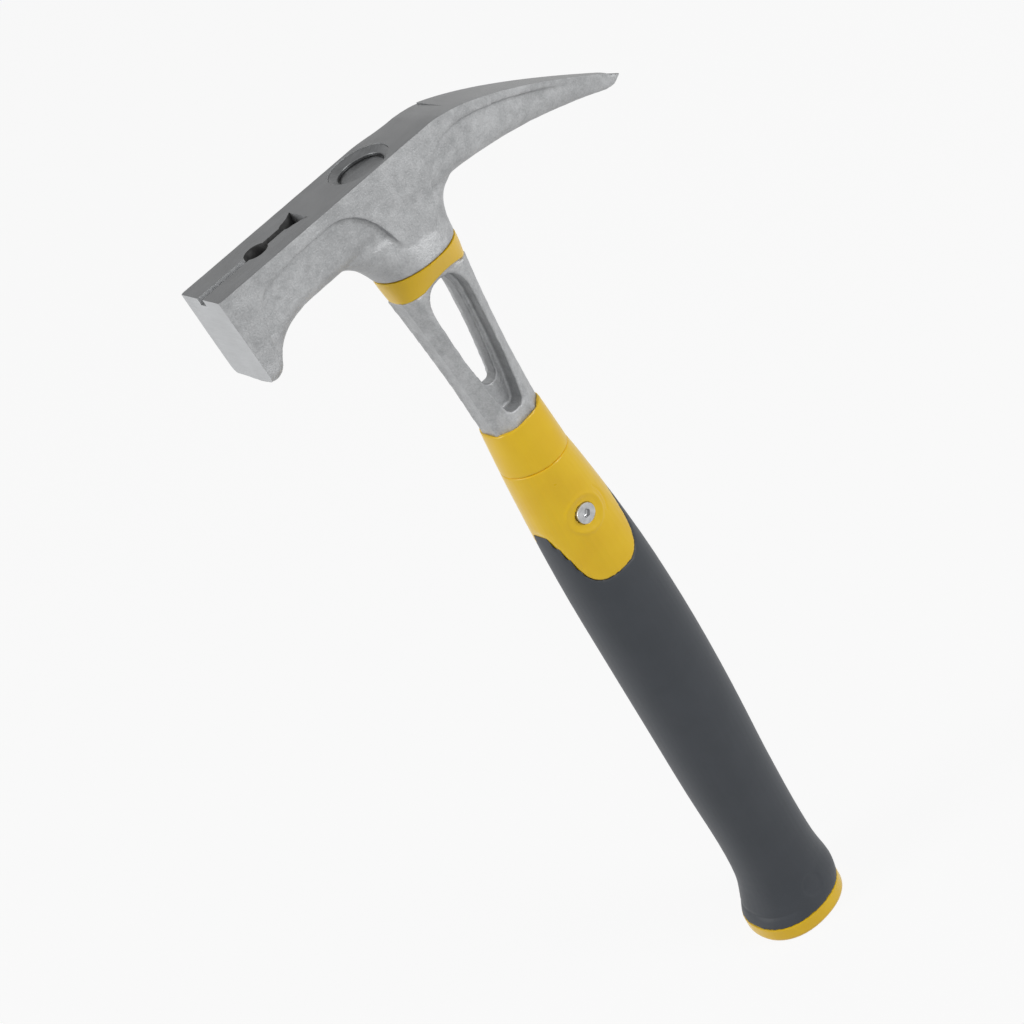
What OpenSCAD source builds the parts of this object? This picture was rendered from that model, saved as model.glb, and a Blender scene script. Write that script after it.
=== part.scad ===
// Pick-ended roofing hammer with a nail-starting slot.
// The head is riveted to an open-frame steel shank by a round tenon; the shank's tang is
// screwed into a hard handle core under a soft grip.
// Z runs up the handle from the butt, +X is the pick side, -Y is the screw head's side.

/* [Overall] */
// height of the ground top of the head above the butt
total_h = 322; // [280:1:360]
// width of the head across its cheeks
head_w = 22.2; // [18:0.2:28]
// reach of the striking face from the handle's axis
face_reach = 64.1; // [50:0.1:80]
// reach of the pick's tip from the handle's axis
pick_reach = 91; // [75:0.1:110]

/* [Head] */
// height of the striking face
face_h = 30.2; // [22:0.2:36]
// backward lean of the striking face, in degrees
face_lean = 2; // [0:0.1:4]
// bevel round the striking face
face_bevel = 0.7; // [0.4:0.1:2]
// radius of the striking face's two lower corners
face_corner_r = 3; // [1:0.1:4]
// height of the head over the arch behind the face
arch_depth = 20.9; // [16:0.1:26]
// step from the raised cheeks down to the forged body
cheek_step = 1.8; // [0.8:0.1:3]
// height of the cheek's shield over the eye
shield_h = 26; // [20:0.5:30]
// distance behind the axis where the top starts to bend down to the pick
pick_bend = 22; // [16:1:32]
// drop of the pick's tip below the ground top
pick_drop = 33.1; // [20:0.5:45]
// half width of the pick's blunt tip
tip_half = 1.4; // [0.8:0.1:3]
// depth of the pick's underside line below the tip's point
tip_h = 4.5; // [2:0.1:6]
// length of the slanted end under the tip
tip_slant = 3.2; // [1:0.1:5]

/* [Neck] */
// depth of the joint with the shank below the ground top
neck_drop = 33.4; // [30:0.2:40]
// half width of the neck at the joint, along the head
neck_half_x = 14.4; // [12:0.1:18]
// half depth of the neck at the joint
neck_half_y = 12.8; // [10:0.1:15]

/* [Nail slot] */
// width of the slot that holds the nail's shank
slot_w = 3; // [2:0.1:5]
// depth of the slot
slot_depth = 2.4; // [1:0.1:4]
// diameter of the magnet's well
well_d = 8; // [6:0.1:10]
// distance of the well from the handle's axis
well_x = 42; // [34:0.5:50]
// depth of the well
well_depth = 8; // [4:0.5:14]
// depth of the pocket for the nail's head
pocket_depth = 6; // [3:0.5:10]
// width of the pocket's flat end wall
pocket_w = 11; // [6:0.2:13]
// distance of the pocket's flat end wall from the handle's axis
pocket_x = 24.7; // [20:0.1:30]
// thickness of the magnet in the well
magnet_t = 3; // [1:0.5:6]

/* [Eye] */
// offset of the eye from the handle's axis, along the head
eye_x = -0.5; // [-2:0.1:2]
// diameter of the shank's tenon and of the eye that it fills
eye_d = 15.2; // [10:0.2:17]
// diameter of the washer's seat round the eye
washer_d = 20.2; // [18:0.2:21]
// thickness of the washer at its rim
washer_t = 2.6; // [2:0.1:4]
// depth of the dish in the washer's top
dish_depth = 1.35; // [0:0.05:1.8]
// depth of the washer's rim below the ground top
washer_sink = 0.35; // [0.1:0.05:1]
// depth of the riveted tenon's end below the ground top
tenon_sink = 2.7; // [2:0.1:3.5]

/* [Shank] */
// height of the coloured collar
collar_h = 8.3; // [5:0.1:12]
// rise of the collar's lower edge over each broad side
collar_rise = 1.9; // [0:0.1:3]
// gap that shows above the collar
collar_gap = 0.3; // [0.1:0.1:1]
// wall of the collar
collar_wall = 1; // [0.6:0.1:3]
// half width of the shank just under the collar
shank_top_half = 13.3; // [10:0.1:16]
// half width of the shank at the handle's mouth
shank_foot_half = 9.4; // [8:0.1:13]
// offset of the shank's foot towards the pick
shank_foot_x = 0.7; // [0:0.1:2]
// half depth of the shank at its waist
shank_half_y = 7.4; // [6:0.1:11]
// extra half depth at the handle's mouth
shank_flare_y = 1.5; // [0:0.1:3]
// chamfer along the shank's outer edges under the collar
shank_chamfer = 3.4; // [1:0.1:5]
// chamfer along the shank's outer edges at the handle's mouth
foot_chamfer = 5; // [2:0.1:6]
// depth of the channel down the shank's front
channel_depth = 0.8; // [0:0.1:2]
// steel left between the collar and the top of the window
window_head = 1.8; // [0.5:0.1:6]
// steel left between the handle's mouth and the foot of the window's pocket
window_sill = 5; // [2:0.5:15]
// half width of the window's pocket at its widest
window_half = 7.4; // [4:0.1:9]
// half width of the slot through the web at its widest
slot_half = 5.7; // [3:0.1:8]
// thickness of the web in the window
web_t = 4.8; // [3:0.1:9]
// height of the slot's foot above the pocket's foot
web_rise = 9.4; // [4:0.2:25]

/* [Handle] */
// distance from the ground top down to the upper sleeve's mouth
mouth_drop = 97; // [85:0.5:120]
// height of the upper sleeve
sleeve_h = 16; // [10:0.5:25]
// rise of the sleeve's mouth from its front edge to its back edge
mouth_rise = 2; // [0:0.1:4]
// distance from the sleeve's lower edge down to the grip's front edge
grip_edge_drop = 19; // [8:0.5:24]
// distance from the sleeve's lower edge down to the tongue's tip
tongue_drop = 45; // [35:0.5:60]
// half width of the tongue near its tip
tongue_half = 9.6; // [6:0.1:12]
// half width of the butt
butt_half_x = 18.1; // [14:0.1:22]
// half depth of the butt
butt_half_y = 17; // [13:0.1:21]
// squareness of the butt's oval: 2 is an ellipse, and more is squarer
butt_square = 2.2; // [2:0.05:3]
// height of the butt cap
cap_h = 6.2; // [3:0.2:12]
// rounding of the butt cap's lower edge
cap_round = 1.8; // [1:0.2:4]
// thickness of the soft grip over the core
grip_t = 3; // [1.5:0.1:5]
// width of the tang inside the handle
tang_w = 13; // [8:0.2:16]
// thickness of the tang inside the handle
tang_t = 9; // [5:0.2:12]
// height of the tang's lower end
tang_foot = 62; // [30:1:120]

/* [Screw] */
// distance of the screw below the sleeve's lower edge
screw_drop = 21; // [14:0.5:30]
// diameter of the screw's head and of the nut's head
screw_head_d = 7; // [5:0.1:10]
// diameter of the screw's stem
screw_d = 4; // [3:0.1:6]
// diameter of the nut's barrel
barrel_d = 5.6; // [4.6:0.1:8]
// width across the flats of the key socket
socket_w = 2.5; // [1.5:0.1:4]

/* [Fits] */
// clearance between a part and the bore that it sits in
seat_fit = 0.05; // [0:0.01:0.3]

/* [Hidden] */
$fn = 64;
steel = [0.66, 0.67, 0.69];
yellow = [0.96, 0.80, 0.04];
slate = [0.23, 0.25, 0.28];
top_z = total_h;
face_x = -face_reach;
cheek_y = head_w / 2;
body_y = cheek_y - cheek_step;
joint_z = top_z - neck_drop;
collar_top = joint_z - collar_gap;
collar_foot = collar_top - collar_h;
mouth_z = top_z - mouth_drop;
parting_z = mouth_z - sleeve_h;
grip_edge_z = parting_z - grip_edge_drop;
tongue_tip_z = parting_z - tongue_drop;
screw_z = parting_z - screw_drop;

// ---- curves and lofts ----
function quad(a, b, c, t) = a * (1 - t) * (1 - t) + 2 * b * t * (1 - t) + c * t * t;
function arc_between(a, b, c, steps) = [for (i = [1:steps]) quad(a, b, c, i / steps)];
// parameter at which a quadratic curve in one coordinate reaches the value v
function quad_solve(a, b, c, v) =
    let (p = a - 2 * b + c, q = 2 * (b - a), r = a - v)
    abs(p) < 1e-6 ? -r / q : (-q + sqrt(max(0, q * q - 4 * p * r))) / (2 * p);
// height of a quadratic curve of points at the place x
function quad_at(curve, x) =
    quad(curve[0][1], curve[1][1], curve[2][1], quad_solve(curve[0][0], curve[1][0], curve[2][0], x));
function ease(t) = let (u = min(max(t, 0), 1)) u * u * (3 - 2 * u);
function signed_pow(v, e) = sign(v) * pow(abs(v), e);
function mirrored(side) = [for (i = [len(side) - 1:-1:0]) [side[i][0], -side[i][1]]];
// a smooth row between rows i and i + 1 of a list of stations
function between(rows, i, t) =
    let (p0 = rows[max(i - 1, 0)], p1 = rows[i], p2 = rows[i + 1],
         p3 = rows[min(i + 2, len(rows) - 1)])
    0.5 * (2 * p1 + (p2 - p0) * t + (2 * p0 - 5 * p1 + 4 * p2 - p3) * t * t
           + (3 * p1 - p0 - 3 * p2 + p3) * t * t * t);
function smooth_rows(rows, steps) =
    [for (i = [0:len(rows) - 2]) for (k = [0:steps - 1]) between(rows, i, k / steps),
     rows[len(rows) - 1]];
// a rounded ring at height z from x = front to x = back, half depth b, squareness n
function oval_ring(z, front, back, b, n, sides) =
    [for (i = [0:sides - 1]) let (t = 360 * i / sides)
        [(front + back) / 2 + (back - front) / 2 * signed_pow(cos(t), 2 / n),
         b * signed_pow(sin(t), 2 / n), z]];

// joins rings of equal length, listed upwards or towards +X, into a closed solid
module loft(rings) {
    n = len(rings[0]);
    m = len(rings);
    points = [for (ring = rings) for (p = ring) p];
    foot = [[for (i = [0:n - 1]) i]];
    lid = [[for (i = [n - 1:-1:0]) (m - 1) * n + i]];
    sides = [for (j = [0:m - 2]) for (i = [0:n - 1])
        let (a = j * n + i, b = j * n + (i + 1) % n)
        for (face = [[a, a + n, b + n], [a, b + n, b]]) face];
    polyhedron(points, concat(foot, lid, sides));
}

// ---- head ----
face_foot = top_z - face_h;
arch_z = top_z - arch_depth;
pick_span = pick_reach - pick_bend;
pick_steps = 14;
// line of the ground top from the bend to the pick's tip
pick_top = [[pick_bend, top_z], [pick_bend + 0.31 * pick_span, top_z - 0.075 * pick_drop],
            [pick_reach, top_z - pick_drop]];
// line of the pick's underside from the neck to the tip
pick_under = [[pick_bend + 2, arch_z + 0.9], [pick_bend + 0.52 * pick_span, arch_z - 2.6],
              [pick_reach, top_z - pick_drop - tip_h]];
// half width along the pick
pick_plan = [[pick_bend + 3, cheek_y], [pick_bend + 0.47 * pick_span, 0.72 * cheek_y],
             [pick_reach, tip_half]];

function half_width(x) = x < pick_plan[0][0] ? cheek_y : quad_at(pick_plan, x);
function top_at(x) = x < pick_bend ? top_z : quad_at(pick_top, x);
function face_x_at(z) = face_x + (top_z - z) * tan(face_lean);

// the underside from the face over the chin and the arch to the neck, as three curves
chin_z = face_foot - 2.9;
chin = [[face_x_at(face_foot) + 0.3, face_foot + 0.3], [face_x + 2.3, chin_z], [face_x + 4.9, chin_z]];
hook = [chin[2], [face_x + 7.4, chin_z + 0.2], [face_x + 8.6, chin_z + 3.4]];
arch = [hook[2], [face_x + 13, arch_z - 0.3], [face_x + 27, arch_z]];
front_line = concat([chin[0]], arc_between(chin[0], chin[1], chin[2], 4),
    arc_between(hook[0], hook[1], hook[2], 3), arc_between(arch[0], arch[1], arch[2], 7), [[0, arch_z]]);
// height of the pick's underside
function under_at(x) = x < pick_under[0][0] ? pick_under[0][1] : quad_at(pick_under, x);
pick_line = concat([for (i = [0:pick_steps - 1])
    let (x = quad(pick_top[0][0], pick_top[1][0], pick_top[2][0], i / pick_steps)) [x, under_at(x)]],
    [[pick_reach - tip_slant, under_at(pick_reach - tip_slant) + 0.9],
     [pick_reach, top_z - pick_drop - 0.8]]);
// the forged body lies inside the raised cheeks, and meets them near the pick's tip
function body_inset(x) = 0.12 + cheek_step * (1 - ease((x - 0.55 * pick_reach) / (0.3 * pick_reach)));

// a slice of the forged body: flat sides and a rounded underside
function body_slice(x, bottom) =
    let (y = half_width(x) - body_inset(x), top = top_at(x) - 0.4,
         mid = bottom + min(0.55 * (top - bottom), 6.5))
    concat([[x, y, top], [x, -y, top]],
        [for (i = [0:14]) let (t = 180 + 180 * i / 14)
            [x, y * signed_pow(cos(t), 0.85), mid + (mid - bottom) * signed_pow(sin(t), 0.85)]]);

module forged_body() {
    loft([for (p = concat(front_line, pick_line)) body_slice(p[0], p[1])]);
}

// the neck flares down from the body to the joint with the shank
module neck() {
    steps = 9;
    front = [-neck_half_x, -neck_half_x - 4.5, -2 * neck_half_x + 0.5];
    back = [neck_half_x - 0.3, neck_half_x + 0.2, pick_bend + 1];
    rings = [for (i = [0:steps]) let (t = i / steps)
        oval_ring(quad(joint_z, arch_z - 0.6, arch_z + 1.2, t), quad(front[0], front[1], front[2], t),
            quad(back[0], back[1], back[2], t),
            quad(neck_half_y, body_y + 1, body_y - 0.4, t), 2.2 + 0.6 * t, 40)];
    loft(concat(rings, [oval_ring(arch_z + 8, front[2], back[2], body_y - 0.4, 2.8, 40)]));
}

// the raised cheeks: face block, top rim and the shield over the eye, seen from the side
rim_z = top_z - 4.1;
shield_z = top_z - shield_h;
block_x = face_x + 8.8;
rim_end = [pick_bend + 0.75 * pick_span, top_z - 0.73 * pick_drop];
cheek_outline = concat(
    [[face_x + face_bevel, top_z], [face_x_at(top_z - face_bevel), top_z - face_bevel],
     [face_x_at(face_foot + face_bevel), face_foot + face_bevel],
     [face_x_at(face_foot) + face_bevel, face_foot], [face_x + 3.2, face_foot]],
    arc_between([face_x + 3.2, face_foot], [face_x + 4.8, face_foot], [face_x + 5.4, face_foot + 2], 4),
    arc_between([block_x, rim_z - 10.4], [block_x + 1.9, rim_z - 2.4], [block_x + 6.3, rim_z - 2], 5),
    arc_between([block_x + 6.3, rim_z - 2], [-38, rim_z + 0.4], [-24.7, rim_z], 5),
    arc_between([-24.7, rim_z], [-13, rim_z + 0.1], [-8.2, rim_z - 13.9], 7),
    arc_between([-7.2, shield_z + 3.6], [-6, shield_z + 0.3], [-0.8, shield_z + 0.2], 4),
    arc_between([-0.8, shield_z + 0.2], [7.6, shield_z - 1.6], [8.9, shield_z + 3], 5),
    arc_between([8.9, shield_z + 3], [11.5, rim_z - 5], [23.4, rim_z - 1.5], 7),
    arc_between([23.4, rim_z - 1.5], [pick_bend + 15, rim_z], rim_end, 8),
    [[pick_reach, top_z - pick_drop - 0.6]],
    [for (i = [pick_steps:-1:0]) quad(pick_top[0], pick_top[1], pick_top[2], i / pick_steps)]);
// the raised cheeks seen from above
plan_side = concat([[face_x - 1, cheek_y - face_bevel - 1], [face_x + face_bevel, cheek_y],
    [pick_plan[0][0], cheek_y]], arc_between(pick_plan[0], pick_plan[1], pick_plan[2], pick_steps));

module side_view(outline) {
    rotate([90, 0, 0]) translate([0, 0, -40]) linear_extrude(80) polygon(outline);
}
module cheeks() {
    intersection() {
        side_view(cheek_outline);
        linear_extrude(2 * top_z) polygon(concat(mirrored(plan_side), plan_side));
        rotate([90, 0, 90]) translate([0, 0, face_x - 5])
            linear_extrude(pick_reach + face_reach + 10) face_shape();
    }
}
// the striking face's shape, with two rounded lower corners
module face_shape() {
    r = face_corner_r;
    translate([-cheek_y, face_foot + r]) square([head_w, face_h]);
    translate([-cheek_y + r, face_foot]) square([head_w - 2 * r, face_h]);
    for (s = [-1, 1]) translate([s * (cheek_y - r), face_foot + r]) circle(r);
}

// the slot holds a nail's shank, with its head in the pocket
module nail_slot() {
    translate([face_x - 2, -slot_w / 2, top_z - slot_depth])
        cube([face_reach - well_x + 2, slot_w, slot_depth + 1]);
    translate([-well_x, 0, top_z - well_depth]) cylinder(d = well_d, h = well_depth + 1);
    translate([-well_x, -slot_w / 2, top_z - 0.6 * slot_depth])
        cube([well_x - pocket_x - 3, slot_w, slot_depth]);
    // drop-shaped pocket that ends in a flat wall
    round_r = 0.25 * pocket_w;
    side = concat([for (i = [0:4]) let (t = 180 - 22.5 * i)
            [-pocket_x - 1.7 * round_r + round_r * cos(t), round_r * sin(t)]],
        [[-pocket_x - 2.4, pocket_w / 2 - 1.8], [-pocket_x, pocket_w / 2]]);
    translate([0, 0, top_z - pocket_depth]) linear_extrude(pocket_depth + 1)
        polygon(concat(mirrored(side), side));
}

module head() {
    color(steel) difference() {
        union() {
            forged_body();
            neck();
            cheeks();
        }
        nail_slot();
        translate([eye_x, 0, joint_z - 5]) cylinder(d = eye_d, h = total_h);
        translate([eye_x, 0, top_z - washer_sink - washer_t]) cylinder(d = washer_d, h = 10);
    }
}

// the washer's top is dished towards the riveted tenon
module peening_washer() {
    rim = 0.3;
    color(steel) translate([eye_x, 0, top_z - washer_sink - washer_t]) difference() {
        cylinder(d = washer_d - 2 * seat_fit, h = washer_t);
        translate([0, 0, -1]) cylinder(d = eye_d, h = washer_t + 2);
        translate([0, 0, washer_t - dish_depth])
            cylinder(d1 = eye_d, d2 = washer_d - 2 * rim, h = dish_depth + 0.01);
    }
}

module nail_magnet() {
    color([0.2, 0.2, 0.21]) translate([-well_x, 0, top_z - well_depth])
        cylinder(d = well_d - 2 * seat_fit, h = magnet_t);
}

// ---- shank ----
// half depths of the shank at the handle's mouth and under the collar
foot_y = shank_half_y + shank_flare_y;
neck_y = shank_half_y + 0.1;
// rings of the collar, drawn in by the inset
function collar_rings(inset, foot, top) =
    [for (i = [0:4]) let (t = i / 4, z = collar_foot + collar_h * t, a = shank_top_half + 1.1 * t - inset)
        oval_ring(i == 0 ? foot : i == 4 ? top : z, -a, a,
            neck_y + 0.6 + (neck_half_y - neck_y - 0.6) * t - inset, 3.2 - 1.1 * t, 48)];

// one chamfered slice of the shank, with the channel down its front
function shank_slice(z, mid, a, b, c, dip) = [for (p = [[a, c - b], [a, b - c], [a - c, b], [c - a, b],
    [-a, b - c], [dip - a, 0.35 * b], [dip - a, -0.35 * b], [-a, c - b], [c - a, -b], [a - c, -b]])
    [mid + p[0], p[1], z]];

module shank_blank() {
    steps = 10;
    // from inside the handle's mouth up to the collar
    loft([for (i = [0:steps]) let (t = i / steps, bow = 4 * t * (1 - t))
        shank_slice(quad(mouth_z - 4, (mouth_z + collar_foot) / 2 - 1, collar_foot, t),
            shank_foot_x * (1 - t) * (1 - t),
            quad(shank_foot_half, shank_foot_half + 0.9, shank_top_half, t),
            quad(foot_y, shank_half_y - 0.4, neck_y, t),
            foot_chamfer + (shank_chamfer - foot_chamfer) * t, channel_depth * bow)]);
    // tapered block inside the collar
    loft(collar_rings(collar_wall, collar_foot - 1, joint_z));
    // round tenon through the head's eye
    translate([eye_x, 0, joint_z - 1]) cylinder(d = eye_d, h = neck_drop + 1 - tenon_sink);
    // tang inside the handle
    translate([-tang_w / 2, -tang_t / 2, tang_foot]) cube([tang_w, tang_t, mouth_z - tang_foot]);
}

// a drop-shaped window outline with half width w, from foot to top
function window_outline(w, low, foot, top) =
    let (side = concat([[low - 1.5, foot], [low, foot + 1.5]],
        arc_between([low, foot + 1.5], [0.86 * w, foot + 13], [w, top - 9.5], 6),
        arc_between([w, top - 9.5], [w, top], [0, top], 7)))
    concat(side, [for (i = [len(side) - 2:-1:0]) [-side[i][0], side[i][1]]]);

module shank() {
    window_top = collar_foot + collar_rise - window_head;
    window_foot = mouth_z + window_sill;
    color(steel) difference() {
        shank_blank();
        // pockets sunk from both broad sides down to the web
        for (s = [-1, 1]) translate([0, s * (web_t / 2 + 40), 0])
            side_view(window_outline(window_half, 3.3, window_foot, window_top));
        // slot through the web
        side_view(window_outline(slot_half, 2.7, window_foot + web_rise, window_top - 1));
        // hole for the handle screw's nut
        cross_hole(barrel_d);
    }
}

module collar_ring() {
    color(yellow) difference() {
        loft(collar_rings(0, collar_foot, collar_top));
        loft(collar_rings(collar_wall, collar_foot - 1, joint_z));
        // the lower edge arches over the broad sides, a little more towards the pick
        side_view(concat([[-20, collar_foot - 9]], arc_between([-20, collar_foot - 9],
            [4, collar_foot + 2 * collar_rise + 8.5], [20, collar_foot - 8], 16)));
    }
}

// ---- handle ----
// stations up the handle: height, front, back, half depth, squareness
handle_rows = [
    [cap_h, -butt_half_x, butt_half_x, butt_half_y, butt_square],
    [2 * cap_h, 0.5 - 0.89 * butt_half_x, 1.055 * butt_half_x, 0.96 * butt_half_y, butt_square],
    [23, -13.1, 18, 14.7, 2.1],
    [40, -12.3, 17.5, 13.9, 2.2],
    [65, -12.9, 17.9, 14.3, 2.2],
    [95, -12.95, 19, 15, 2.2],
    [125, -13.1, 19.3, 15.1, 2.2],
    [tongue_tip_z - 9, -13.2, 18.3, 14.6, 2.2],
    [tongue_tip_z + 16, -12.6, 16.2, 13.4, 2.2],
    [parting_z - 8, -11.6, 13.6, 12.8, 2.1],
    [parting_z, -11.2, 12.4, 12.3, 2],
    [mouth_z + mouth_rise, shank_foot_x - shank_foot_half - 0.8, shank_foot_x + shank_foot_half + 0.8,
     foot_y + 0.8, 2.5]];
function handle_rings(first, last, steps, inset, sides) =
    [for (r = smooth_rows([for (i = [first:last]) handle_rows[i]], steps))
        oval_ring(r[0], r[1] + inset, r[2] - inset, r[3] - inset, r[4], sides)];

// the part of the handle where the hard core shows through the grip, seen from the side
core_side_front = concat([[-30, grip_edge_z], [-12.6, grip_edge_z]],
    arc_between([-12.6, grip_edge_z], [-11.1, grip_edge_z - 10], [-tongue_half, tongue_tip_z + 6], 6),
    arc_between([-tongue_half, tongue_tip_z + 6], [-tongue_half + 1, tongue_tip_z],
        [-3, tongue_tip_z], 5));
core_side_back = concat([[3, tongue_tip_z]],
    arc_between([3, tongue_tip_z], [tongue_half + 1.9, tongue_tip_z],
        [tongue_half + 3.4, tongue_tip_z + 12.5], 7),
    arc_between([tongue_half + 3.4, tongue_tip_z + 12.5], [tongue_half + 4.4, tongue_tip_z + 24],
        [tongue_half + 6, grip_edge_z + 10], 5));
core_side = concat([[-30, top_z]], core_side_front, core_side_back, [[30, grip_edge_z + 10], [30, top_z]]);

module core_form() {
    loft(handle_rings(1, 9, 1, grip_t, 32));
}
module handle_form() {
    loft(handle_rings(0, 10, 3, 0, 40));
}
module tang_slot() {
    translate([-tang_w / 2, -tang_t / 2, tang_foot]) cube([tang_w, tang_t, mouth_z - tang_foot]);
}

module upper_sleeve() {
    color(yellow) difference() {
        loft(handle_rings(10, 11, 4, 0, 48));
        tang_slot();
        // socket that takes the shank's foot
        loft([for (z = [mouth_z - 4, mouth_z + 5])
            shank_slice(z, shank_foot_x, shank_foot_half, foot_y, foot_chamfer, 0)]);
        // the mouth rises towards the back
        side_view([[-20, mouth_z + 9], [-20, mouth_z - 0.5 * mouth_rise],
            [20, mouth_z + 1.3 * mouth_rise], [20, mouth_z + 9]]);
    }
}

module handle_core() {
    color(yellow) difference() {
        union() {
            core_form();
            intersection() {
                handle_form();
                side_view(core_side);
            }
        }
        tang_slot();
        screw_seats();
    }
}

module soft_grip() {
    color(slate) difference() {
        handle_form();
        side_view(core_side);
        core_form();
    }
}

// flat cap with a rounded lower edge
module end_cap() {
    steps = 6;
    edge = [for (i = [0:steps]) let (t = 90 * i / steps)
        [cap_round * (1 - cos(t)), cap_round * (1 - sin(t))]];
    color(yellow) loft([for (e = concat(edge, [[cap_h, 0]]))
        oval_ring(e[0], e[1] - butt_half_x, butt_half_x - e[1], butt_half_y - e[1], butt_square, 48)]);
}

// ---- screw ----
// the screw's and the nut's heads stand at this distance from the middle
head_y = 13.2;
module cross_hole(d) {
    translate([0, 20, screw_z]) rotate([90, 0, 0]) cylinder(d = d, h = 40);
}
module screw_seats() {
    for (s = [-1, 1]) translate([0, s * (head_y + 4), screw_z]) rotate([90 * s, 0, 0])
        cylinder(d = screw_head_d + 2 * seat_fit, h = 6);
    cross_hole(barrel_d);
}
module handle_screw() {
    color(steel) translate([0, -head_y, screw_z]) rotate([-90, 0, 0]) difference() {
        union() {
            cylinder(d = screw_head_d, h = 2);
            cylinder(d = screw_d, h = 2 * head_y - 6);
        }
        translate([0, 0, -1]) cylinder(d = socket_w / cos(30), h = 2.4, $fn = 6);
    }
}
module screw_nut() {
    color(steel) translate([0, head_y, screw_z]) rotate([90, 0, 0]) difference() {
        union() {
            cylinder(d = screw_head_d, h = 2);
            cylinder(d = barrel_d, h = 2 * head_y - 3);
        }
        translate([0, 0, 5]) cylinder(d = screw_d, h = 2 * head_y);
    }
}

head();
peening_washer();
nail_magnet();
shank();
collar_ring();
upper_sleeve();
handle_core();
soft_grip();
end_cap();
handle_screw();
screw_nut();
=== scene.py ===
import math

import bpy
from mathutils import Matrix, Vector


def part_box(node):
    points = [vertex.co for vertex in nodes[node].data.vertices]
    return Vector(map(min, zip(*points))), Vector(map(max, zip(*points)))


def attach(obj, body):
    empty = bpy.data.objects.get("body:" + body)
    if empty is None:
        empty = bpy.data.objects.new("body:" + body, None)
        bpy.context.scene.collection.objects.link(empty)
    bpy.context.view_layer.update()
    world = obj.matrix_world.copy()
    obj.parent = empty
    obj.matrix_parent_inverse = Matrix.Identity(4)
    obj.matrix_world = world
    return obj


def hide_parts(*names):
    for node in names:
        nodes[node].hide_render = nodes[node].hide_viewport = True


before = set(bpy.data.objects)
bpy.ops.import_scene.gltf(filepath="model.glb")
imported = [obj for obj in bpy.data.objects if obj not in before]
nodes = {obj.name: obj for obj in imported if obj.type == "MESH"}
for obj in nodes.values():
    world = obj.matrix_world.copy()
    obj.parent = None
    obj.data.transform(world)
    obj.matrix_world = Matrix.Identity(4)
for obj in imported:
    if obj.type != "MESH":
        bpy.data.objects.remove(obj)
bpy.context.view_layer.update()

# ---- sizes, in metres, as in the part's source ----
mm = 0.001
head_low, head_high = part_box("head")
sleeve_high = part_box("upper_sleeve")[1]
screw_low, screw_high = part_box("handle_screw")
washer_low, washer_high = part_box("peening_washer")
magnet_low, magnet_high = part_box("nail_magnet")
top_z = head_high.z
face_x = head_low.x
pick_x = head_high.x
face_lean = math.radians(2)
pick_bend = 22 * mm
pick_drop = 33.1 * mm
curve_share = 0.31
curve_drop = 0.075
slot_w = 3 * mm
slot_depth = 2.4 * mm
well_x = -(magnet_low.x + magnet_high.x) / 2
well_r = 4 * mm
well_depth = top_z - magnet_low.z
pocket_x = 24.7 * mm
pocket_half = 5.5 * mm
pocket_depth = 6 * mm
throat_half = pocket_half - 1.8 * mm
eye_x = (washer_low.x + washer_high.x) / 2
seat_r = (washer_high.x - washer_low.x) / 2
eye_r = 7.6 * mm
mouth_z = sleeve_high.z - 2 * mm
screw_z = (screw_low.z + screw_high.z) / 2
reach = 20 * mm     # how far the grinding tools reach past the steel
far = 0.2           # well past the hammer on every side
sky = 1             # well above it


def top_line(x):
    """Height of the ground top over the place x: flat, then bent down along the pick."""
    if x <= pick_bend:
        return top_z
    span = pick_x - pick_bend
    start, bend, end = pick_bend, pick_bend + curve_share * span, pick_x
    a = start - 2 * bend + end
    b = 2 * (bend - start)
    t = (-b + math.sqrt(max(0, b * b - 4 * a * (start - x)))) / (2 * a)
    middle = top_z - curve_drop * pick_drop
    low = top_z - pick_drop
    return top_z * (1 - t) ** 2 + 2 * middle * t * (1 - t) + low * t * t


# ---- workshop helpers ----
def only(piece):
    """Selects one piece and nothing else, in object mode."""
    if bpy.context.object and bpy.context.object.mode != "OBJECT":
        bpy.ops.object.mode_set(mode="OBJECT")
    bpy.ops.object.select_all(action="DESELECT")
    bpy.context.view_layer.objects.active = piece
    piece.select_set(True)


def work_on(piece, kind="VERT"):
    """Opens a piece in edit mode with nothing selected."""
    only(piece)
    bpy.ops.object.mode_set(mode="EDIT")
    bpy.ops.mesh.select_mode(type=kind)
    bpy.ops.mesh.select_all(action="DESELECT")
    bpy.ops.object.mode_set(mode="OBJECT")


def edit(piece, *steps):
    """Runs edit-mode steps on what is selected in a piece."""
    only(piece)
    bpy.ops.object.mode_set(mode="EDIT")
    for step in steps:
        step()
    bpy.ops.object.mode_set(mode="OBJECT")


def pick_points(piece, test):
    """Selects the points whose place passes the test."""
    work_on(piece, "VERT")
    for point in piece.data.vertices:
        point.select = bool(test(point.co))


def pick_faces(piece, test):
    """Selects the faces whose middle and normal pass the test."""
    work_on(piece, "FACE")
    for face in piece.data.polygons:
        face.select = bool(test(face.center, face.normal))


def finish_with(piece, kind, **settings):
    """Adds a modifier with its settings and applies it."""
    only(piece)
    modifier = piece.modifiers.new(kind.lower(), kind)
    for key, value in settings.items():
        setattr(modifier, key, value)
    bpy.ops.object.modifier_apply(modifier=modifier.name)
    return piece


def copy_of(node, name):
    """A welded copy of a CAD node's mesh, as the start of a finished piece."""
    piece = bpy.data.objects.new(name, nodes[node].data.copy())
    piece.data.name = name
    bpy.context.scene.collection.objects.link(piece)
    only(piece)
    piece.data.materials.clear()
    edit(piece, lambda: bpy.ops.mesh.select_all(action="SELECT"),
         lambda: bpy.ops.mesh.remove_doubles(threshold=0.002 * mm))
    return piece


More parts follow.
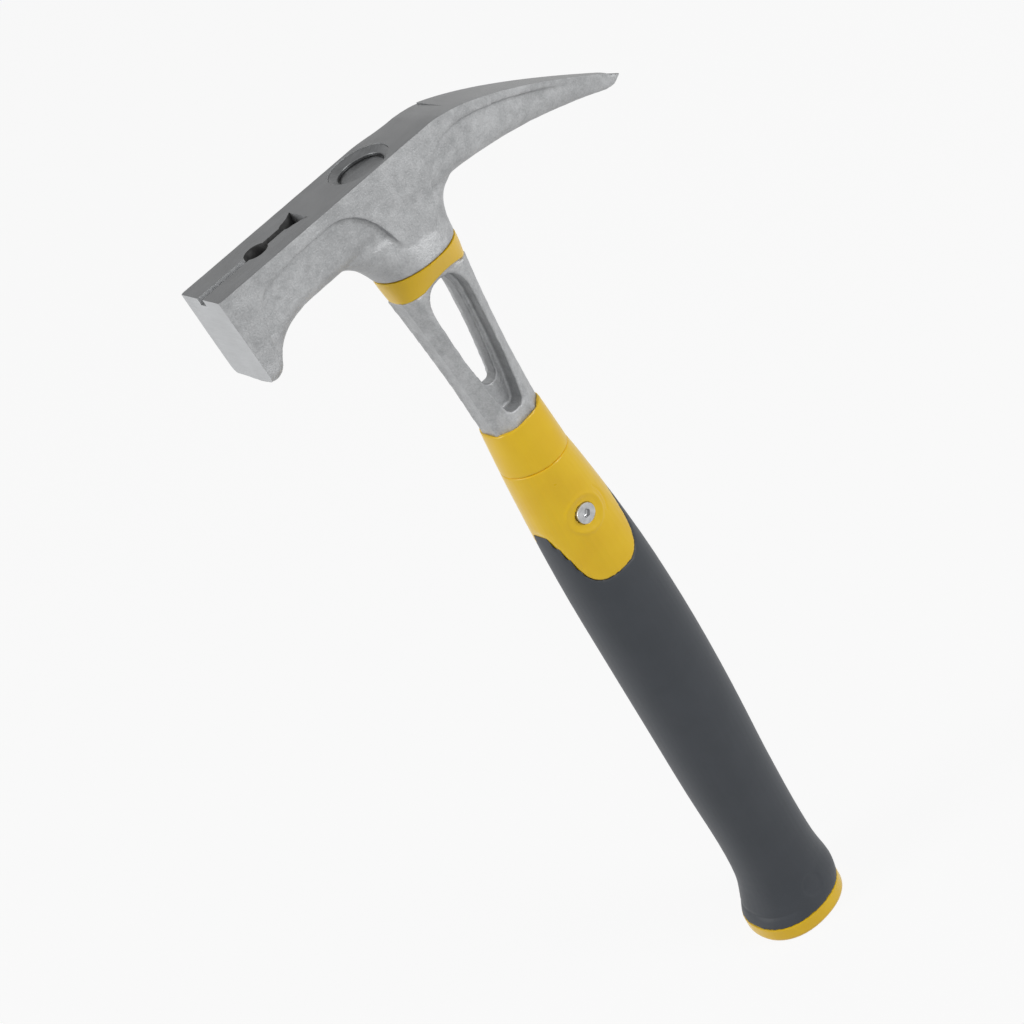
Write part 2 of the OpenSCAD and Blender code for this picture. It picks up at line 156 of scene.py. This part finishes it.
def block(name, low, high):
    """A block between two corners."""
    low, high = Vector(low), Vector(high)
    bpy.ops.object.select_all(action="DESELECT")
    bpy.ops.mesh.primitive_cube_add(size=1, location=(0, 0, 0))
    piece = bpy.context.object
    piece.name = name
    edit(piece, lambda: bpy.ops.mesh.select_all(action="SELECT"),
         lambda: bpy.ops.transform.resize(value=tuple(high - low), center_override=(0, 0, 0)),
         lambda: bpy.ops.transform.translate(value=tuple((low + high) / 2)))
    return piece


def rod(name, foot, top, radius, sides=64):
    """An upright rod."""
    bpy.ops.object.select_all(action="DESELECT")
    bpy.ops.mesh.primitive_cylinder_add(vertices=sides, radius=radius, depth=top - foot[2])
    piece = bpy.context.object
    piece.name = name
    edit(piece, lambda: bpy.ops.mesh.select_all(action="SELECT"),
         lambda: bpy.ops.transform.translate(value=(foot[0], foot[1], (top + foot[2]) / 2)))
    return piece


def taper(piece, test, scale, about):
    """Scales the points that pass the test about a place."""
    pick_points(piece, test)
    edit(piece, lambda: bpy.ops.transform.resize(value=scale, center_override=about))
    return piece


def join(piece, *others):
    """Makes one mesh of several."""
    only(piece)
    for other in others:
        other.select_set(True)
    bpy.ops.object.join()
    return piece


def scrap(piece):
    """Throws a piece away."""
    bpy.data.objects.remove(piece, do_unlink=True)


def cut(piece, *tools, how="DIFFERENCE"):
    """Cuts a piece with tools, which are scrapped."""
    for tool in tools:
        finish_with(piece, "BOOLEAN", operation=how, solver="MANIFOLD", object=tool)
        scrap(tool)
    return piece


def recast(piece, grain, passes, strength=0.5):
    """Casts a piece again on a fine even grid, and softens its edges."""
    finish_with(piece, "REMESH", mode="VOXEL", voxel_size=grain, use_smooth_shade=True)
    if passes:
        finish_with(piece, "SMOOTH", factor=strength, iterations=passes)
    return piece


def uneven(piece, depth, size):
    """Gives a surface the slight waviness of a forging."""
    clouds = bpy.data.textures.new(piece.name + "_waves", "CLOUDS")
    clouds.noise_scale = size
    clouds.noise_depth = 2
    finish_with(piece, "DISPLACE", texture=clouds, strength=depth, mid_level=0.5,
                texture_coords="LOCAL")
    return piece


def raise_where(piece, height, weight):
    """Raises or sinks the surface by a height times a weight that depends on place and normal."""
    group = piece.vertex_groups.new(name="relief")
    for point in piece.data.vertices:
        amount = weight(point.co, point.normal)
        if amount > 0.001:
            group.add([point.index], min(1.0, amount), "REPLACE")
    finish_with(piece, "DISPLACE", strength=height, mid_level=0.0, vertex_group="relief")
    piece.vertex_groups.remove(piece.vertex_groups["relief"])
    return piece


def smooth_edges(piece, degrees):
    """Shades a piece smooth, apart from edges sharper than an angle."""
    only(piece)
    bpy.ops.object.shade_smooth_by_angle(angle=math.radians(degrees))
    return piece


def ease(t):
    """0 up to 0, 1 from 1 on, and a smooth step between."""
    t = min(max(t, 0.0), 1.0)
    return t * t * (3 - 2 * t)


def ridge(distance, width):
    """1 at no distance, falling off smoothly over about a width."""
    return math.exp(-(distance / width) ** 2)


def stands_for(piece, node):
    """The finished piece rides on the hammer in place of its CAD node."""
    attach(piece, "root")
    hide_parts(node)
    return piece


# ---- finishes, and greys with painted shade ----
class Value:
    """A number in a finish, with the usual arithmetic."""

    def __init__(self, finish, socket):
        self.finish = finish
        self.socket = socket

    def maths(self, operation, *others):
        return self.finish.make("ShaderNodeMath", dict(enumerate(others)), operation=operation)

    def __add__(self, other):
        return self.maths("ADD", self, other)

    __radd__ = __add__

    def __sub__(self, other):
        return self.maths("SUBTRACT", self, other)

    def __mul__(self, other):
        return self.maths("MULTIPLY", self, other)

    __rmul__ = __mul__

    def step(self, low, high):
        """0 below low, 1 above high, and a smooth step between."""
        return self.finish.make("ShaderNodeMapRange", {0: self, 1: low, 2: high, 3: 0.0, 4: 1.0},
                                interpolation_type="SMOOTHSTEP", clamp=True)


class Finish:
    """A material, made by expressions."""

    def __init__(self, name, **constants):
        self.material = bpy.data.materials.new(name)
        self.material.use_nodes = True
        self.tree = self.material.node_tree
        self.shader = self.tree.nodes["Principled BSDF"]
        for key, value in constants.items():
            self.shader.inputs[key.replace("_", " ")].default_value = value
        self.place = self.make("ShaderNodeTexCoord", output="Object")

    def feed(self, socket, value):
        """Links a value to a socket, or sets a plain number or colour there."""
        if isinstance(value, Value):
            self.tree.links.new(value.socket, socket)
        else:
            socket.default_value = value

    def make(self, kind, inputs=None, output=0, **settings):
        """Adds a node of a kind and gives one of its outputs."""
        node = self.tree.nodes.new(kind)
        for key, value in settings.items():
            setattr(node, key, value)
        for key, value in (inputs or {}).items():
            self.feed(node.inputs[key], value)
        return Value(self, node.outputs[output])

    def stretched(self, scale):
        """The place, with its axes scaled."""
        return self.make("ShaderNodeMapping", {"Vector": self.place, "Scale": scale})

    def noise(self, size, detail=2.0, rough=0.5, where=None):
        """Cloudy noise from 0 to 1, with patches of about the given size in metres."""
        return self.make("ShaderNodeTexNoise", {"Vector": where or self.place, "Scale": 1 / size,
                                                "Detail": detail, "Roughness": rough})

    def blend(self, amount, first, second):
        """A colour between two others."""
        return self.make("ShaderNodeMix", {0: amount, 6: first, 7: second}, output=2,
                         data_type="RGBA")

    def done(self, colour, rough, relief=None, depth=0.05 * mm):
        """Sets what varies over the surface."""
        self.feed(self.shader.inputs["Base Color"], colour)
        self.feed(self.shader.inputs["Roughness"], rough)
        if relief is not None:
            normal = self.make("ShaderNodeBump", {"Height": relief, "Distance": depth,
                                                  "Strength": 1.0})
            self.feed(self.shader.inputs["Normal"], normal)
        return self.material


def grey(value, tint=0.0):
    """A grey, a little bluish where it has a tint."""
    return (value * (1 - tint), value, value * (1 + tint), 1)


def forged_finish(base):
    """Blasted forging skin: broad and small blotches with a fine grain."""
    finish = Finish("forged_steel", Metallic=0.4)
    broad = finish.noise(14 * mm, 3)
    patch = finish.noise(3.2 * mm, 4, 0.6)
    grain = finish.noise(0.55 * mm, 3, 0.65)
    tone = 0.5 + 0.9 * (patch - 0.5) + 0.7 * (broad - 0.5) + 0.9 * (grain - 0.5)
    colour = finish.blend(tone.step(0.0, 1.0), grey(base * 0.72, 0.02), grey(base * 1.25, 0.015))
    rough = 0.46 + 0.22 * (patch - 0.5) + 0.1 * (grain - 0.5)
    return finish.done(colour, rough, relief=grain + 0.8 * patch, depth=0.16 * mm)


def ground_finish_painted_shade():
    """Ground steel with fine lines along the head, in greys painted dark as shade for the top
    surfaces.
    """
    finish = Finish("ground_steel", Metallic=0.9)
    lines = finish.noise(1 * mm, 3, 0.6, finish.stretched((0.05, 3.2, 1)))
    fine = finish.noise(1 * mm, 2, 0.6, finish.stretched((0.12, 9, 1)))
    patch = finish.noise(9 * mm, 3)
    tone = 0.5 + 1.2 * (lines - 0.5) + 0.8 * (fine - 0.5) + 0.5 * (patch - 0.5)
    # painted shade: these greys are far darker than the ground face's, standing in for the dark
    # reflection on the top
    colour = finish.blend(tone.step(0.05, 0.95), grey(0.11, 0.02), grey(0.18, 0.02))
    return finish.done(colour, 0.36 + 0.2 * (lines - 0.5), relief=lines + fine, depth=0.02 * mm)


def face_finish():
    """The striking face, fine ground."""
    finish = Finish("ground_face", Metallic=0.9)
    patch = finish.noise(6 * mm, 3)
    lines = finish.noise(1 * mm, 2, 0.6, finish.stretched((1, 0.2, 4)))
    tone = 0.5 + 0.6 * (patch - 0.5) + 0.6 * (lines - 0.5)
    colour = finish.blend(tone.step(0.1, 0.9), grey(0.44, 0.02), grey(0.56, 0.02))
    return finish.done(colour, 0.4 + 0.1 * (patch - 0.5), relief=lines, depth=0.02 * mm)


def plastic_finish():
    """Hard yellow moulding."""
    finish = Finish("yellow_plastic")
    patch = finish.noise(12 * mm, 2)
    skin = finish.noise(0.5 * mm, 2)
    deep, light = (0.90, 0.56, 0.006, 1), (0.93, 0.60, 0.010, 1)
    colour = finish.blend(patch.step(0.3, 0.7), deep, light)
    return finish.done(colour, 0.3 + 0.12 * (patch - 0.5), relief=skin, depth=0.012 * mm)


def rubber_finish():
    """Soft dark moulding with a fine skin."""
    finish = Finish("slate_rubber")
    patch = finish.noise(16 * mm, 3)
    skin = finish.noise(0.35 * mm, 3, 0.6)
    deep, light = (0.033, 0.039, 0.048, 1), (0.041, 0.047, 0.057, 1)
    colour = finish.blend(patch.step(0.3, 0.7), deep, light)
    return finish.done(colour, 0.5 + 0.12 * (patch - 0.5), relief=skin, depth=0.03 * mm)


def plated_finish():
    """Plated screw and nut."""
    finish = Finish("screw_steel", Metallic=0.95)
    patch = finish.noise(1.5 * mm, 3)
    colour = finish.blend(patch.step(0.3, 0.7), grey(0.42, 0.01), grey(0.55, 0.01))
    return finish.done(colour, 0.34 + 0.2 * (patch - 0.5), relief=patch, depth=0.03 * mm)


def dark_finish(name, value):
    """A dark magnet, or a grey with painted shade for the walls of a hollow."""
    finish = Finish(name, Metallic=0.6)
    patch = finish.noise(1.5 * mm, 2)
    colour = finish.blend(patch.step(0.3, 0.7), grey(value * 0.8), grey(value * 1.2))
    return finish.done(colour, 0.5 + 0.1 * (patch - 0.5))


forged_steel = forged_finish(0.46)
# ground steel greys with painted shade, for the top of the head, the washer and the tenon's end
ground_steel = ground_finish_painted_shade()
ground_face = face_finish()
yellow_plastic = plastic_finish()
slate_rubber = rubber_finish()
screw_steel = plated_finish()
magnet_dark = dark_finish("magnet", 0.03)
# painted shade: the slot, well and pocket walls get a grey far darker than the forging
hollow_painted_shade = dark_finish("slot_wall_painted_shade", 0.10)


# ---- head ----
def cut_along(tool, cuts):
    """Divides a block along the head, and gives the places where it now has points."""
    work_on(tool, "EDGE")
    for edge in tool.data.edges:
        a, b = (tool.data.vertices[i].co for i in edge.vertices)
        edge.select = abs(a.x - b.x) > 1 * mm
    edit(tool, lambda: bpy.ops.mesh.subdivide(number_cuts=cuts))
    return sorted({round(p.co.x, 6) for p in tool.data.vertices})


def drop_points(tool, test, drop):
    """Moves the points that pass a test down, or up where the drop is above 0."""
    pick_points(tool, test)
    edit(tool, lambda: bpy.ops.transform.translate(value=(0, 0, drop)))


def grinder():
    """Everything above the ground top, from the face to the pick's tip."""
    tool = block("grinder", (face_x - 12 * mm, -reach, top_z),
                 (pick_x + 6 * mm, reach, top_z + reach))
    for x in cut_along(tool, 63):
        drop = top_line(min(x, pick_x)) - top_z
        if drop < 0:
            drop_points(tool, lambda p: abs(p.x - x) < 0.01 * mm and p.z < top_z + 1 * mm, drop)
    return tool


def far_grinder():
    """The ground top leans down to the far edge at the bend, and ends there in a small step."""
    start, end, near_y, far_y = 4 * mm, 31 * mm, -5 * mm, 13 * mm
    most_lean, run_in, run_out = 1.2 * mm, 16 * mm, 9 * mm
    tool = block("far_grinder", (start, near_y, top_z), (end, far_y, top_z + 10 * mm))
    for x in cut_along(tool, 17):
        fall = top_line(x) - top_z
        lean = most_lean * ease((x - start) / run_in) * (1 - 0.6 * ease((x - pick_bend) / run_out))
        for side, drop in ((near_y, fall + 0.04 * mm), (far_y, fall - lean)):
            drop_points(tool, lambda p: abs(p.x - x) < 0.01 * mm and abs(p.y - side) < 1 * mm
                        and p.z < top_z + 5 * mm, drop)
    return tool


def face_cutter():
    """Everything in front of the striking face, which leans back."""
    below = 60 * mm
    tool = block("face_cutter", (face_x - reach, -reach, top_z - below),
                 (face_x, reach, top_z + reach))
    lean = math.tan(face_lean)
    pick_points(tool, lambda p: p.x > face_x - 1 * mm and p.z < top_z)
    edit(tool, lambda: bpy.ops.transform.translate(value=(below * lean, 0, 0)))
    pick_points(tool, lambda p: p.x > face_x - 1 * mm and p.z > top_z)
    edit(tool, lambda: bpy.ops.transform.translate(value=(-reach * lean, 0, 0)))
    return tool


def nail_slot_tools():
    """The slot for a nail, the magnet's well and the pocket for the nail's head."""
    above = top_z + 10 * mm
    slot = block("slot", (face_x - 10 * mm, -slot_w / 2, top_z - slot_depth),
                 (-well_x, slot_w / 2, above))
    link = block("slot_link", (-well_x, -slot_w / 2, top_z - 0.6 * slot_depth),
                 (-pocket_x - 3 * mm, slot_w / 2, above))
    well = rod("well", (-well_x, 0, top_z - well_depth), above, well_r)
    nose_r = pocket_half / 2
    nose_x = -pocket_x - 1.7 * nose_r
    flare_x = -pocket_x - 2.4 * mm
    floor = top_z - pocket_depth
    by_end = 0.5 * mm
    nose = rod("pocket_nose", (nose_x, 0, floor), above, nose_r, sides=32)
    throat = block("pocket_throat", (nose_x, -nose_r, floor), (flare_x + 0.01 * mm, nose_r, above))
    taper(throat, lambda p: p.x > flare_x - by_end, (1, throat_half / nose_r, 1), (0, 0, 0))
    mouth = block("pocket_mouth", (flare_x, -throat_half, floor), (-pocket_x, throat_half, above))
    taper(mouth, lambda p: p.x > -pocket_x - by_end, (1, pocket_half / throat_half, 1), (0, 0, 0))
    return [slot, link, well, nose, throat, mouth]


def give_stock(head):
    """Leaves stock on the top and on the face, to be ground off, and plugs the hollows."""
    stock, lap = 3 * mm, 0.5 * mm
    pick_faces(head, lambda c, n: n.z > 0.6 and abs(c.z - top_line(c.x)) < 0.3 * mm)
    edit(head, lambda: bpy.ops.mesh.extrude_region_move(
        TRANSFORM_OT_translate={"value": (0, 0, stock)}))
    pick_faces(head, lambda c, n: n.x < -0.95 and c.x < face_x + 2.5 * mm)
    edit(head, lambda: bpy.ops.mesh.extrude_region_move(
        TRANSFORM_OT_translate={"value": (-stock, 0, 0)}))
    plug_top = top_z + 2.5 * mm
    plugs = [block("plug", (face_x - 2 * mm, -pocket_half - lap, top_z - well_depth - 1 * mm),
                   (-pocket_x + 1 * mm, pocket_half + lap, plug_top)),
             rod("seat_plug", (eye_x, 0, top_z - 6 * mm), plug_top, seat_r + 0.3 * mm),
             rod("eye_plug", (eye_x, 0, top_z - 30 * mm), plug_top, eye_r + 0.4 * mm)]
    join(head, *plugs)


def paint_head(head):
    """Gives each face of the head its finish or its painted shade, by place and normal."""
    forged, ground, face_ground, hollow = range(4)
    head.data.materials.clear()
    for material in (forged_steel, ground_steel, ground_face, hollow_painted_shade):
        head.data.materials.append(material)
    for face in head.data.polygons:
        c, n = face.center, face.normal
        under = 1.4 * mm if c.x > 10 * mm else 0.12 * mm
        face_line = face_x + (top_z - c.z) * math.tan(face_lean)
        face.material_index = forged
        # the ground top takes the ground steel grey with painted shade
        if n.z > 0.6 and -under < c.z - top_line(c.x) < 0.12 * mm:
            face.material_index = ground
        elif n.x < -0.99 and c.x < face_x + 2.5 * mm and abs(c.x - face_line) < 0.05 * mm:
            face.material_index = face_ground
        # the walls inside the nail slot, well and pocket get the grey of painted shade
        elif (-well_x - 5 * mm < c.x < -pocket_x - 0.1 * mm and abs(c.y) < pocket_half + 0.1 * mm
              and top_z - 9 * mm < c.z < top_z - 0.05 * mm):
            face.material_index = hollow


def make_head():
    head = copy_of("head", "head_forging")
    give_stock(head)
    recast(head, grain=0.5 * mm, passes=5)
    uneven(head, depth=0.22 * mm, size=5 * mm)
    seat = rod("washer_seat", (eye_x, 0, washer_low.z), top_z + 10 * mm, seat_r + 0.05 * mm, sides=96)
    eye = rod("eye", (eye_x, 0, top_z - 60 * mm), top_z + 10 * mm, eye_r, sides=96)
    cut(head, grinder(), far_grinder(), face_cutter(), *nail_slot_tools(), seat, eye)
    paint_head(head)
    smooth_edges(head, 35)
    return stands_for(head, "head")


def make_washer():
    washer = copy_of("peening_washer", "riveting_washer")
    recast(washer, grain=0.2 * mm, passes=2)
    # the washer takes the ground steel grey with painted shade
    washer.data.materials.append(ground_steel)
    smooth_edges(washer, 30)
    return stands_for(washer, "peening_washer")


# ---- shank and collar ----
def make_shank():
    waist = mouth_z - 5 * mm
    shank = copy_of("shank", "open_shank")
    tang = copy_of("shank", "tang")
    cut(shank, block("below", (-far, -far, -far), (far, far, waist)))
    cut(tang, block("above", (-far, -far, waist + 1.2 * mm), (far, far, sky)))
    recast(shank, grain=0.4 * mm, passes=5)
    uneven(shank, depth=0.18 * mm, size=4 * mm)
    cut(shank, tang, how="UNION")
    shank.data.materials.clear()
    shank.data.materials.append(forged_steel)
    # the tenon's end on the top takes the ground steel grey with painted shade
    shank.data.materials.append(ground_steel)
    for face in shank.data.polygons:
        face.material_index = 1 if face.center.z > top_z - 6 * mm else 0
    smooth_edges(shank, 40)
    return stands_for(shank, "shank")


def make_collar():
    collar = copy_of("collar_ring", "collar_moulding")
    recast(collar, grain=0.25 * mm, passes=3)
    collar.data.materials.append(yellow_plastic)
    smooth_edges(collar, 40)
    return stands_for(collar, "collar_ring")


# ---- handle ----
def make_sleeve():
    sleeve = copy_of("upper_sleeve", "sleeve_moulding")
    recast(sleeve, grain=0.35 * mm, passes=4)
    sleeve.data.materials.append(yellow_plastic)
    smooth_edges(sleeve, 40)
    return stands_for(sleeve, "upper_sleeve")


def make_core():
    """The hard core, with a ring, a dish and short arcs sunk round the screw."""
    core = copy_of("handle_core", "core_moulding")
    lower = copy_of("handle_core", "lower_core")
    waist = screw_z - 32 * mm
    ring_r, dish_r, arc_r = 6.4 * mm, 4.4 * mm, 8.6 * mm
    cut(core, block("below", (-far, -far, -far), (far, far, waist)))
    cut(lower, block("above", (-far, -far, waist + 1.2 * mm), (far, far, sky)))
    recast(core, grain=0.4 * mm, passes=3)

    def around(p):
        return math.hypot(p.x, p.z - screw_z)

    def on_side(n):
        return abs(n.y) > 0.3

    raise_where(core, 0.3 * mm, lambda p, n: ridge(around(p) - ring_r, 0.6 * mm)
                if on_side(n) else 0)
    raise_where(core, -0.25 * mm, lambda p, n: 1 - ease((around(p) - dish_r) / (1.4 * mm))
                if on_side(n) else 0)
    raise_where(core, -0.22 * mm, lambda p, n: ridge(around(p) - arc_r, 0.35 * mm)
                if on_side(n) and p.x > 7 * mm else 0)
    cut(core, lower, how="UNION")
    core.data.materials.clear()
    core.data.materials.append(yellow_plastic)
    smooth_edges(core, 40)
    return stands_for(core, "handle_core")


def make_grip():
    """The soft grip, with a shallow groove and a plain round recess near the butt."""
    grip = copy_of("soft_grip", "grip_moulding")
    groove_z, groove_w = 10.6 * mm, 0.6 * mm
    recess_x, recess_z, recess_r = 1.7 * mm, 15 * mm, 3.7 * mm
    recast(grip, grain=0.7 * mm, passes=4)
    raise_where(grip, -0.3 * mm, lambda p, n: ridge(p.z - groove_z, groove_w)
                * (1 - ease((p.x + 9 * mm) / (3 * mm))))
    raise_where(grip, -0.3 * mm, lambda p, n: 1 - ease(
        (math.hypot(p.x - recess_x, p.z - recess_z) - recess_r) / (0.9 * mm)) if n.y < -0.5 else 0)
    grip.data.materials.append(slate_rubber)
    smooth_edges(grip, 50)
    return stands_for(grip, "soft_grip")


def make_cap():
    cap = copy_of("end_cap", "cap_moulding")
    recast(cap, grain=0.4 * mm, passes=2)
    cap.data.materials.append(yellow_plastic)
    smooth_edges(cap, 40)
    return stands_for(cap, "end_cap")


def make_fastener(node, name):
    piece = copy_of(node, name)
    recast(piece, grain=0.2 * mm, passes=3)
    piece.data.materials.append(screw_steel)
    smooth_edges(piece, 30)
    return stands_for(piece, node)


make_head()
make_washer()
make_shank()
make_collar()
make_sleeve()
make_core()
make_grip()
make_cap()
make_fastener("handle_screw", "screw_finished")
make_fastener("screw_nut", "nut_finished")
nodes["nail_magnet"].data.materials.clear()
nodes["nail_magnet"].data.materials.append(magnet_dark)


# ---- floor, light and camera ----
def camera_or_mirror(tree):
    """1 for rays from the camera and for mirrored ones, and 0 for the rest."""
    path = tree.nodes.new("ShaderNodeLightPath")
    either = tree.nodes.new("ShaderNodeMath")
    either.operation = "MAXIMUM"
    tree.links.new(path.outputs["Is Camera Ray"], either.inputs[0])
    tree.links.new(path.outputs["Is Glossy Ray"], either.inputs[1])
    return either.outputs[0]


def make_floor(matt_grey=0.6, white_share=0.92):
    """A floor that looks white, lights the hammer as a grey one and keeps a trace of shadow."""
    bpy.ops.object.select_all(action="DESELECT")
    bpy.ops.mesh.primitive_plane_add(size=12)
    floor = bpy.context.object
    floor.name = "floor"
    material = bpy.data.materials.new("floor_white")
    material.use_nodes = True
    tree = material.node_tree
    tree.nodes.clear()
    out = tree.nodes.new("ShaderNodeOutputMaterial")
    matt = tree.nodes.new("ShaderNodeBsdfDiffuse")
    matt.inputs["Color"].default_value = (matt_grey, matt_grey, matt_grey, 1)
    glow = tree.nodes.new("ShaderNodeEmission")
    glow.inputs["Color"].default_value = (1, 1, 1, 1)
    mix = tree.nodes.new("ShaderNodeMixShader")
    share = tree.nodes.new("ShaderNodeMath")
    share.operation = "MULTIPLY"
    share.inputs[1].default_value = white_share
    tree.links.new(camera_or_mirror(tree), share.inputs[0])
    tree.links.new(share.outputs[0], mix.inputs[0])
    tree.links.new(matt.outputs[0], mix.inputs[1])
    tree.links.new(glow.outputs[0], mix.inputs[2])
    tree.links.new(mix.outputs[0], out.inputs["Surface"])
    floor.data.materials.append(material)


def lamp(name, place, width, height, power):
    """A rectangular lamp, turned to the middle of the handle."""
    aim = (0, 0, 0.2)
    light = bpy.data.lights.new(name, "AREA")
    light.shape = "RECTANGLE"
    light.size = width
    light.size_y = height
    light.energy = power
    stand = bpy.data.objects.new(name, light)
    bpy.context.scene.collection.objects.link(stand)
    stand.location = place
    stand.rotation_euler = (Vector(aim) - Vector(place)).to_track_quat("-Z", "Y").to_euler()


def make_world(softness=0.24):
    """White where it is seen or mirrored, and a soft light elsewhere."""
    world = bpy.data.worlds.new("studio")
    bpy.context.scene.world = world
    world.use_nodes = True
    tree = world.node_tree
    tree.nodes.clear()
    out = tree.nodes.new("ShaderNodeOutputWorld")
    seen = tree.nodes.new("ShaderNodeBackground")
    seen.inputs["Color"].default_value = (1, 1, 1, 1)
    soft = tree.nodes.new("ShaderNodeBackground")
    soft.inputs["Color"].default_value = (1, 1, 1, 1)
    soft.inputs["Strength"].default_value = softness
    mix = tree.nodes.new("ShaderNodeMixShader")
    tree.links.new(camera_or_mirror(tree), mix.inputs[0])
    tree.links.new(soft.outputs[0], mix.inputs[1])
    tree.links.new(seen.outputs[0], mix.inputs[2])
    tree.links.new(mix.outputs[0], out.inputs["Surface"])


def make_camera():
    """A long lens from above, in front and to the left, tilted."""
    data = bpy.data.cameras.new("camera")
    data.lens = 93.5
    data.sensor_width = 36
    data.clip_start = 0.01
    data.clip_end = 50
    camera = bpy.data.objects.new("camera", data)
    bpy.context.scene.collection.objects.link(camera)
    right = Vector((0.67980, -0.58128, -0.44720)).normalized()
    ahead = Vector((0.34683, 0.79207, -0.50233)).normalized()
    up = right.cross(ahead)
    right = ahead.cross(up)
    turn = Matrix((right, up, -ahead)).transposed().to_4x4()
    place = (-0.30270, -0.65539, 0.61454)
    camera.matrix_world = Matrix.Translation(place) @ turn
    bpy.context.scene.camera = camera


make_floor()
lamp("key", (0.75, -1.25, 0.85), width=0.7, height=0.7, power=11)
lamp("rim", (-1.25, 0.35, 0.75), width=0.5, height=1.1, power=9)
lamp("fill", (-0.9, -1.3, 0.9), width=0.9, height=0.9, power=1.5)
make_world()
make_camera()
bpy.context.scene.view_settings.view_transform = "Standard"
